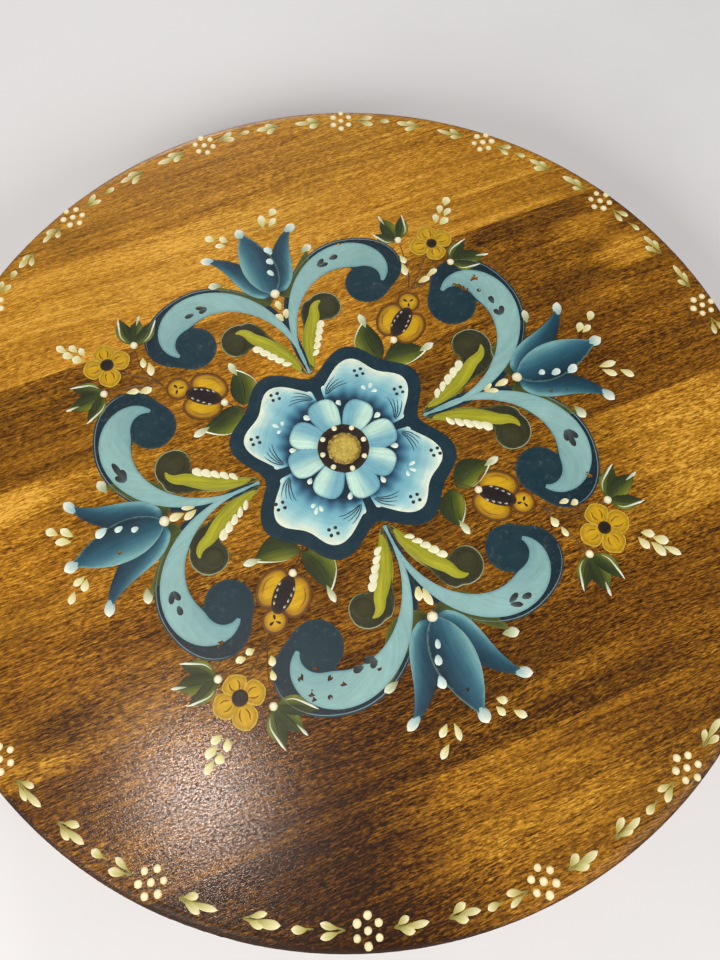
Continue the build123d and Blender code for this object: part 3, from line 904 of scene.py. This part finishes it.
for (bx, by), ax, sc, am in TUL:
    def T(pts, flip=1, ang=ax, sc=sc, bx=bx, by=by):
        a = math.radians(ang)
        p = np.atleast_2d(np.asarray(pts, float)) * sc * np.array((1, flip))
        return np.column_stack([bx + p[:, 0] * math.cos(a) - p[:, 1] * math.sin(a),
                                by + p[:, 0] * math.sin(a) + p[:, 1] * math.cos(a)])

    def loc(V, ang=ax, sc=sc, bx=bx, by=by):
        a = math.radians(ang)
        q = V - (bx, by)
        return np.column_stack([q[:, 0] * math.cos(a) + q[:, 1] * math.sin(a),
                                -q[:, 0] * math.sin(a) + q[:, 1] * math.cos(a)]) / sc
    for s_ in (1, -1):
        def cl(V, d, s_=s_):
            q = loc(V)
            yy = q[:, 1] * s_
            u = np.clip((yy - (0.10 * q[:, 0] + 1.5)) / (0.45 * q[:, 0] + 7), 0, 1)
            return mixc(mixc((34, 40, 20), (64, 74, 26), u), (112, 116, 36), (1 - np.clip(d / 1.2, 0, 1)) * 0.45)
        leaf.blob(T(SEP, s_), 0.16, cl, lambda V: loc(V) * (1, 1.0), step=1.1)
        beads.drop(T((18.2, 24.4), s_)[0], T((19.8, 30.4), s_)[0], 2.2, 0.4, (222, 228, 206), (130, 140, 96))

        def ct(V, d, s_=s_):
            q = loc(V)
            x, yy = q[:, 0], q[:, 1] * s_
            mid_y = np.interp(x, SIDE_MID[:, 0], SIDE_MID[:, 1])
            w = np.clip(0.5 - (yy - mid_y) / 13.0, 0, 1)
            c = stops(w, [(0, (108, 156, 160)), (0.14, (60, 112, 124)), (0.42, (25, 66, 84)), (1, (11, 39, 52))])
            return mixc(c, (140, 170, 160), np.clip((x - 33) / 6, 0, 1) * 0.5)
        tul.blob(T(SIDE, s_), 0.335 + 0.012 * s_, ct, loc, step=1.0, chips=TCHIPS)
        beads.drop(T((33.8, 21.0), s_)[0], T((37.0, 27.8), s_)[0], 2.4, 0.45, (232, 234, 214), (112, 154, 160))

    def cm(V, d, am=am, bx=bx, by=by, sc=sc):
        q = loc(V, am)
        v = q[:, 1] / 8.2
        c = stops(v, [(-1, (9, 35, 47)), (-0.5, (20, 55, 72)), (0.1, (34, 80, 98)), (0.6, (64, 114, 128)), (1, (108, 158, 160))])
        return mixc(c, (130, 165, 150), (1 - np.clip(d / 0.7, 0, 1)) * 0.6)
    tulm.blob(T(MID, 1, am), 0.41, cm, lambda V, am=am: loc(V, am), step=1.0, chips=TCHIPS)
    beads.drop(T((39.6, 0.3), 1, am)[0], T((46.6, 0.6), 1, am)[0], 2.6, 0.5, (232, 236, 216), (112, 152, 156))
    beads.dot((bx, by), 2.6, 0.6, (233, 232, 202), (176, 166, 124))
for t, h, w in [((99.3, 3.2), (102.3, 3.4), 2.1), ((104.8, .4), (109.4, 1.2), 2.4), ((112.7, -1.2), (117.9, .4), 2.6),
                ((3.6, 114.7), (1, 118.7), 2.3), ((1.9, 108.4), (-.1, 111.9), 2.1), ((-.1, 101.8), (-2.1, 105.6), 1.8),
                ((-114.1, 6.9), (-119.2, 4.4), 2.4), ((-107.1, 4.7), (-110.8, 3.9), 2.1), ((-100.7, 1.6), (-104.1, 1.3), 1.8),
                ((3.0, -92.5), (1.9, -96.5), 1.9), ((0.6, -98.6), (-.6, -102.7), 2.2), ((-2.3, -106.8), (-2.5, -111.8), 2.4)]:
    beads.drop(t, h, w, 0.62, (226, 236, 224), (150, 186, 190))

# ---- cream sprigs, tail to head
sprigs = Paint("cream_sprigs", streak=0.12, speck=0.2)
SPR = [((128.3, 16.6), (131.6, 20.1)), ((130.5, 15.5), (135.1, 17.4)), ((136.2, 20.4), (139.5, 23.9)),
       ((129.1, -4.2), (137, -4.8)), ((129.9, -6.1), (134.6, -10.5)), ((137.9, -9.4), (142, -14.1)),
       ((-21.3, 133.9), (-24.8, 136.2)), ((-15.6, 130.2), (-18.2, 133.4)), ((-17.3, 128.5), (-21.6, 129.9)),
       ((4.2, 131.7), (5.3, 138.5)), ((9.6, 137.7), (13.1, 140)), ((7.3, 131.4), (11.3, 134.5)),
       ((-135.7, 12), (-139.4, 15.1)), ((-129.5, 8.6), (-133.2, 13.1)), ((-131, 6.4), (-136.8, 8.6)),
       ((-129.5, -10.7), (-134.3, -12.4)), ((-129, -12.1), (-131.2, -16)), ((-135.2, -15.5), (-138, -19.4)),
       ((-7.4, -126.2), (-11.3, -129.4)), ((-4.5, -127), (-4.8, -133.5)), ((-9.8, -133.8), (-14.2, -137.3)),
       ((16, -124.7), (19.3, -127)), ((14.6, -127.6), (16.3, -131.4)), ((20.7, -131.7), (24.2, -135.3)),
       ((70.7, 5.1), (75.6, 7)), ((70.7, 5.1), (77.3, 2.5)), ((77.0, 5.2), (83.6, 5.8)),
       ((-4.7, 75.6), (-6.7, 80.2)), ((-3.3, 76.6), (-1.7, 81.3)), ((-4.1, 82.8), (-4.3, 87.4)),
       ((-74.5, 1.2), (-80.2, 2.9)), ((-74.5, .2), (-80.2, -2.2)), ((-80.6, 0.4), (-86.6, 0.2)),
       ((4.8, -68.8), (2.7, -74.4)), ((6.2, -69.8), (6.9, -78.2)),
       ((89.2, 101.6), (90.8, 105.7)), ((93.1, 106.1), (95.3, 110)), ((97.6, 109.8), (100.8, 113.4)),
       ((94.9, 103.9), (99, 106.6)), ((90.6, 99.8), (95.3, 101.6)), ((-108.4, 98.8), (-111.9, 103.2)),
       ((-104, 97.1), (-106.2, 101)), ((-100.9, 93.6), (-102, 98)), ((-105.9, 95.3), (-109.9, 98)),
       ((-102.6, 91.6), (-106.2, 94)), ((107.4, -84.7), (111.8, -87.4)), ((105.2, -86.2), (107.1, -91.6)),
       ((109.6, -90.4), (112.3, -97.3)), ((111.3, -88.6), (116.3, -92.3)), ((113.8, -94.3), (118.7, -99.7)),
       ((-94.7, -95.4), (-99.1, -96.5)), ((-97.8, -98.5), (-102.8, -100.5)), ((-93.1, -97.2), (-94.7, -101.1)),
       ((-97.3, -101.6), (-99.1, -104.6)), ((-100.8, -103.3), (-105.2, -106.6)),
       ((64.1, 90.3), (64.5, 85.7)), ((62.9, 85.3), (62.2, 79.2)), ((66.1, 71.9), (72, 72.8)), ((71.8, 74), (77.2, 75.5)),
       ((-75.1, 82.6), (-76.2, 78.2)), ((-73.2, 79), (-74, 72.7)), ((-88.1, 67.4), (-82.8, 66.3)), ((-82.6, 65.4), (-76.9, 65.2)),
       ((79, -58.8), (83.2, -59)), ((83.7, -61.3), (86.9, -60.8)), ((72.9, -63), (73.6, -67.2)), ((75.1, -68.9), (75.9, -73.1)),
       ((-75.3, -70.1), (-79.1, -69.7)), ((-70.9, -68.1), (-74.2, -68.1)), ((-65.4, -73), (-65.9, -76.5)), ((-67, -78.7), (-67.2, -82.4))]
for t, h in SPR:
    sprigs.drop(t, h, rng.uniform(1.6, 2.1), 0.28, (236, 232, 200), (184, 178, 104), bend=rng.uniform(-0.05, 0.05))

# ---- buds with two lobes, a dark seed case and a small cap petal
buds = Paint("bud_lobes", streak=0.2, speck=0.35)
for (cx, cy), ang_, (px_, py_), (dx_, dy_) in [((49.2, 54.2), 41, (56.9, 63.3), (41.8, 46.4)),
        ((-54.2, 52.2), 145, (-64.4, 60.4), (-46, 45.4)), ((-51.6, -50.9), 228, (-58.9, -60.1), (-44.5, -43.4)),
        ((54.7, -45), -40, (64.2, -52.1), (47.9, -39.2))]:
    a = math.radians(ang_)
    M = np.array([[math.cos(a), -math.sin(a)], [math.sin(a), math.cos(a)]])
    W = lambda p: np.array((cx, cy)) + np.atleast_2d(np.asarray(p, float)) @ M.T
    th = np.arange(0, 360, 12)
    buds.blob(polar(th, 5.7, (px_, py_)), 0.18, lambda V, d: mixc((92, 56, 14), (120, 74, 14), d / 2), step=0.9)
    buds.blob(polar(th, 4.6, (px_, py_)), 0.25, lambda V, d: mixc((150, 108, 8), (196, 152, 10), d / 2), step=0.9)
    for j in (90, 210, 330):
        seeds.drop((px_, py_), polar([j + ang_], 2.7, (px_, py_))[0], 0.9, 0.36, DARK)
    for s_ in (1, -1):
        r_ = math.radians(9 * s_)
        R2 = np.array([[math.cos(r_), -math.sin(r_)], [math.sin(r_), math.cos(r_)]])
        E = lambda sx, sy: W(np.array((-1.2, 5.4 * s_)) + (polar(th, 1.0) * (sx, sy)) @ R2.T)
        buds.blob(E(9.6, 6.9), 0.20, lambda V, d: mixc((78, 48, 12), (140, 94, 16), d / 2), step=1.0)
        buds.blob(E(8.2, 5.6), 0.28, lambda V, d: mixc((150, 108, 8), (196, 154, 12), d / 3), step=1.0)
        lines.stroke(W([(-8, 6.0 * s_), (-2, 9.4 * s_), (5, 8.2 * s_)]), [0.1, 0.4, 0.1], 0.36, (120, 78, 10))
    buds.blob(W(polar(th, 1.0) * (8.9, 4.4)), 0.36, lambda V, d: mixc((60, 40, 20), (28, 22, 22), d / 2), step=0.8)
    for s_ in (1, -1):
        for j in range(4):
            beads.drop(W((-5.4 + 2.9 * j, 2.9 * s_))[0], W((-3.4 + 2.9 * j, 3.5 * s_ * (1 - 0.04 * j * j)))[0], 0.7, 0.46,
                       (220, 220, 204), (92, 84, 72))
    beads.dot((dx_, dy_), 1.95, 0.55, (232, 230, 200), (176, 166, 124))
    st = np.array((dx_, dy_))
    inward = CTR - st
    inward = inward / np.hypot(*inward)
    lines.stroke([st + inward * 1.2, st + inward * 7, st + inward * 12.5], [0.3, 0.35, 0.5], 0.22, (70, 50, 20))


def leaf_shape(base, tip, bow, hw):
    b, t = np.asarray(base, float), np.asarray(tip, float)
    d = t - b
    L = np.hypot(*d)
    n = np.array((-d[1], d[0])) / L
    s = np.linspace(0, 1, 13)
    mid_ = b + s[:, None] * d + (4 * s * (1 - s) * bow)[:, None] * n
    w = hw * np.sin(np.pi * s ** 0.85) ** 0.8
    w[0] = w[-1] = 0.15
    return mid_, n, w


def leaf_blob(base, tip, bow, hw, light=1, z=0.17):
    m_, n, w = leaf_shape(base, tip, bow, hw)
    out = np.vstack([m_ + n * w[:, None], (m_ - n * w[:, None])[::-1][1:-1]])
    b = np.asarray(base, float)
    d = np.asarray(tip, float) - b
    L = np.hypot(*d)

    def c(V, dd):
        q = V - b
        s = np.clip((q @ d) / L ** 2, 0, 1)
        v = ((q @ n) - 4 * s * (1 - s) * bow) / hw * light
        col = stops(v, [(-1, (28, 38, 18)), (-0.1, (46, 58, 18)), (0.5, (86, 96, 24)), (1, (136, 138, 38))])
        return mixc(col, (44, 46, 24), (1 - np.clip(dd / 0.6, 0, 1)) * 0.4)
    leaf.blob(out, z, c, lambda V: np.column_stack([(V - b) @ d / L, (V - b) @ n]), step=0.9)
    lines.stroke(m_[1:-2], [0.08, 0.28, 0.2, 0.06], z + 0.10, (38, 40, 22))


for base, tip, bow, hw, lt, h0 in [((31.6, 38.9), (31.6, 61), 2.2, 6.0, 1, (31.4, 65.0)), ((33.4, 37.9), (54, 35.6), 1.4, 5.6, -1, (58.2, 37.4)),
                                   ((-37.4, 40.6), (-35.6, 59.4), -1.6, 6.0, -1, (-37.2, 63.4)), ((-39, 40), (-59.6, 35.2), 2.4, 5.6, 1, (-64.0, 34.4)),
                                   ((-37.8, -35.2), (-58.4, -32.0), -3.4, 5.6, 1, (-62.6, -31.9)), ((-37.0, -36.2), (-31.8, -57), 3.0, 5.8, 1, (-31.8, -61.4)),
                                   ((38.8, -34), (58, -29.0), 2.0, 6.0, -1, (62.2, -28.2)), ((36.9, -34.4), (32.8, -51.6), -1.8, 5.6, 1, (35.2, -55.6))]:
    leaf_blob(base, tip, bow, hw + 0.6, lt)
    m_, n_, w_ = leaf_shape(base, tip, bow, hw + 0.6)
    lines.stroke((m_ + lt * n_ * w_[:, None])[3:], [0.06, 0.2, 0.3, 0.4, 0.45], 0.32, (160, 170, 120), (226, 232, 212))
    t = np.array(tip)
    beads.drop(t - 0.16 * (t - np.array(base)), h0, 1.8, 0.5, (226, 232, 210), (140, 150, 96))

# ---- four petal flowers
flow4 = Paint("yellow_flowers", streak=0.2, speck=0.3)
for (cx, cy), r0, tips, hw in [((81.7, 90.7), 2.7, [(81.7, 101.8), (93.1, 92.1), (81.7, 80.5), (69.9, 91.6)], 5.2),
                               ((-92.4, 85), 3.2, [(-92.1, 96.2), (-80.9, 85.6), (-93.2, 72.9), (-104, 85.2)], 5.3),
                               ((93, -76.7), 2.95, [(92.6, -64.5), (105.4, -76.1), (94.6, -89.4), (80.8, -78)], 5.7),
                               ((-83.2, -84.5), 3.5, [(-83.9, -74.3), (-72, -84.8), (-84.1, -98), (-95.3, -85.7)], 5.5)]:
    for k, tp in enumerate(tips):
        c, t = np.array((cx, cy)), np.array(tp)
        d = t - c
        L = np.hypot(*d)
        d = d / L
        n = np.array((-d[1], d[0]))
        s = np.linspace(0, 1, 15)
        w = hw * np.sin(np.pi * s ** 1.15) ** 0.62
        w[0] = 1.2
        w[-1] = 0.1
        m_ = c + d * (1.0 + (L - 1.0) * s)[:, None]
        flow4.blob(np.vstack([m_ + n * w[:, None], (m_ - n * w[:, None])[::-1][1:]]), 0.22 + 0.015 * k,
                   lambda V, dd: mixc(mixc((146, 108, 4), (192, 152, 8), dd / 2.4), (214, 190, 76), (1 - np.clip(dd / 0.6, 0, 1)) * 0.8),
                   lambda V, c=c, d=d, n=n: np.column_stack([(V - c) @ d, (V - c) @ n]), step=0.8)
        for s_ in (1, -1):
            q = [c + d * L * f_ + n * s_ * hw * g_ for f_, g_ in ((0.30, 0.14), (0.52, 0.38), (0.76, 0.30))]
            lines.stroke(q, [0.12, 0.5, 0.42, 0.1], 0.38, (112, 72, 8), (140, 94, 10))
    flow4.blob(polar(np.arange(0, 360, 20), r0, (cx, cy)), 0.46, lambda V, d: mixc((58, 38, 14), (28, 20, 16), d / 1.2), step=0.8)

# ---- three lobed leaves with pale edge strokes
for dot_, tips in [((66.5, 99), [(56.4, 106.4), (63.1, 114.2), (73.6, 111.8)]), ((86.3, 76.9), [(98.1, 86.2), (104.2, 74.6), (99.5, 70.9)]),
                   ((-77.3, 90.6), [(-80.2, 106.8), (-71.2, 103.4), (-64.2, 100)]), ((-97.9, 70.8), [(-111.2, 78.8), (-114.6, 69), (-108.8, 59.8)]),
                   ((100.7, -65.6), [(110.4, -51.9), (117.2, -59.4), (115.2, -71.6)]), ((81.2, -84.9), [(71.9, -97.8), (81.2, -102.8), (89.8, -99.6)]),
                   ((-89.3, -73.8), [(-101.6, -62.6), (-106.6, -70.6), (-103.6, -79)]), ((-71.4, -92.8), [(-72.4, -109.8), (-63.3, -106.8), (-55.2, -100.6)])]:
    b = np.array(dot_)
    ds = [np.array(t) - b for t in tips]
    cr = ds[0][0] * ds[2][1] - ds[0][1] * ds[2][0]
    sgn = -1 if cr < 0 else 1
    for j, t in enumerate(tips):
        d = np.array(t) - b
        L = np.hypot(*d)
        bow = (-sgn, 0, sgn)[j] * 1.0
        leaf_blob(b + d / L * 0.8, t, bow if j != 1 else 0.3, 0.24 * L if j != 1 else 0.27 * L, (-sgn, sgn, sgn)[j], 0.165 + 0.015 * j)
        n = np.array((-d[1], d[0])) / L
        o = (-sgn, 0, sgn)[j]
        if j == 1:
            beads.drop(b + d * 0.72 + n * 0.6, np.array(t) + d / L * 2.0, 0.75, 0.42, (222, 228, 212), (150, 158, 120))
        else:
            path = [b + d * 0.16 + n * o * (0.5 + 0.10 * L), b + d * 0.45 + n * o * (0.15 * L + 0.9), b + d * 0.8 + n * o * (0.07 * L + 0.6), np.array(t) + d / L * 1.2]
            lines.stroke(path, [0.15, 0.3, 0.42, 0.6, 0.62, 0.12], 0.30, (176, 186, 160), (222, 228, 212))
    beads.dot(dot_, 1.9, 0.55, (233, 232, 204), (176, 168, 126))
for P in [[(61.3, 69.9), (68.1, 76.7), (79, 88)], [(60.4, 71.2), (63.6, 78.9), (66.5, 96.6)], [(62, 69.5), (75.4, 71.7), (85.4, 76.2)],
          [(-70.1, 64.5), (-75.4, 70.2), (-86.8, 78.6)], [(-70.5, 65), (-77.1, 76.4), (-77.6, 87.8)], [(-70.1, 64.5), (-84.6, 69.4), (-95.6, 70.7)],
          [(70.4, -56.8), (78.3, -61.8), (86.4, -70)], [(71.4, -57.8), (79.3, -63.7), (98.6, -66)], [(71.9, -58.8), (78.3, -75.6), (79.8, -83.5)],
          [(-64.8, -65.9), (-69.2, -80), (-70.5, -87.9)], [(-65.2, -66.4), (-71.4, -72.1), (-78, -79.2)], [(-65.6, -66.8), (-77, -70.5), (-87.2, -73)]]:
    lines.stroke(P, [0.3, 0.32, 0.2], 0.14, (74, 46, 14), (96, 64, 20))

# ---- rim: dot rosettes and three sprigs between each pair
rim = Paint("rim_border", streak=0.14, speck=0.25)
ROS = [(2.1, 194.1), (25.05, 194.5), (46.2, 194.9), (69.6, 194.9), (92.2, 193.8), (116.1, 196), (134.5, 194.5), (156.7, 194.5),
       (179, 194.5), (201.2, 194.3), (224.7, 193.2), (250.2, 195.6), (271.1, 193.2), (293.2, 196.3), (316.2, 194.5), (339.1, 194.5)]
ROS = [(a_, min(r_, 194.2)) for a_, r_ in ROS]
for a_, r_ in ROS:
    for dt, dr in ((0, 0), (0, 5.2), (0, -5.2), (4.2, 2.5), (4.2, -2.5), (-4.2, 2.5), (-4.2, -2.5)):
        rim.dot(polar([a_ + math.degrees(dt / r_)], r_ + dr)[0], 1.62 + rng.uniform(-0.14, 0.14), 0.24, (236, 226, 190), (196, 178, 116))
for i, (a_, r_) in enumerate(ROS):
    b_, r2 = ROS[(i + 1) % len(ROS)]
    span = (b_ - a_) % 360
    for f0, heads in ((0.14, ((0.235, 2.2), (0.215, -2.4), (0.315, 0.2))), (0.44, ((0.53, 1.8), (0.535, -3.0), (0.60, 0.4))),
                      (0.76, ((0.68, 0.6),)), (0.90, ((0.80, 2.6), (0.80, -1.8)))):
        base_r = (r_ + r2) / 2
        t_ = polar([a_ + span * f0], base_r + 0.2)[0]
        for fh, dr in heads:
            j = rng.uniform(-0.006, 0.006)
            h_ = polar([a_ + span * (fh + j)], base_r + dr + rng.uniform(-0.4, 0.4))[0]
            dd = h_ - t_
            lines.stroke([t_, t_ + dd * 0.45], [0.25, 0.4, 0.3], 0.10, (112, 104, 36), (150, 144, 70))
            rim.drop(t_ + dd * 0.30, h_ + dd / max(np.hypot(*dd), 1) * 0.4, rng.uniform(1.35, 1.75), 0.20, (232, 224, 182), (140, 134, 52), bend=rng.uniform(-0.06, 0.06))

for p in Paint.all:
    p.build()

# ---------------------------------------------------------------- stage and light
bpy.context.scene.view_settings.view_transform = "Standard"
world = bpy.data.worlds.new("studio")
bpy.context.scene.world = world
world.use_nodes = True
world.node_tree.nodes["Background"].inputs[0].default_value = (0.97, 0.97, 1.0, 1)
world.node_tree.nodes["Background"].inputs[1].default_value = 0.15


def area(name, loc, target, size, watts, colour=(1, 1, 1)):
    d = bpy.data.lights.new(name, "AREA")
    d.shape = "DISK"
    d.size = size
    d.energy = watts
    d.color = colour
    o = bpy.data.objects.new(name, d)
    bpy.context.collection.objects.link(o)
    o.location = loc
    o.rotation_euler = (Vector(target) - Vector(loc)).to_track_quat("-Z", "Y").to_euler()
    return o


area("lamp_overhead", (-0.306, -0.131, 0.925), (-0.1, -0.05, 0.047), 0.12, 2.4, (1.0, 0.82, 0.71))
area("softbox_left", (-1.35, -1.05, 0.95), (0, 0, 0.04), 0.9, 31, (1.0, 0.98, 0.95))
area("softbox_front", (0.85, -1.45, 0.95), (0, 0, 0.04), 0.9, 22, (1.0, 0.98, 0.96))
area("softbox_far", (0.2, 2.6, 0.75), (0.1, 0.9, 0.0), 1.0, 42, (1.0, 0.99, 0.98))

fm = bpy.data.meshes.new("floor")
bm = bmesh.new()
bmesh.ops.create_grid(bm, x_segments=2, y_segments=2, size=6.0)
bm.to_mesh(fm)
bm.free()
floor = bpy.data.objects.new("floor", fm)
bpy.context.collection.objects.link(floor)
floor.location.z = -0.0002
f = Mat("pale_floor")
fn = f.noise(f.co(), 0.02, 3.0)
fm.materials.append(f.set(Base_Color=f.mix(fn, (0.70, 0.71, 0.725), (0.74, 0.75, 0.76)),
                          Roughness=f.remap(fn, 0.3, 0.7, 0.7, 0.8)))
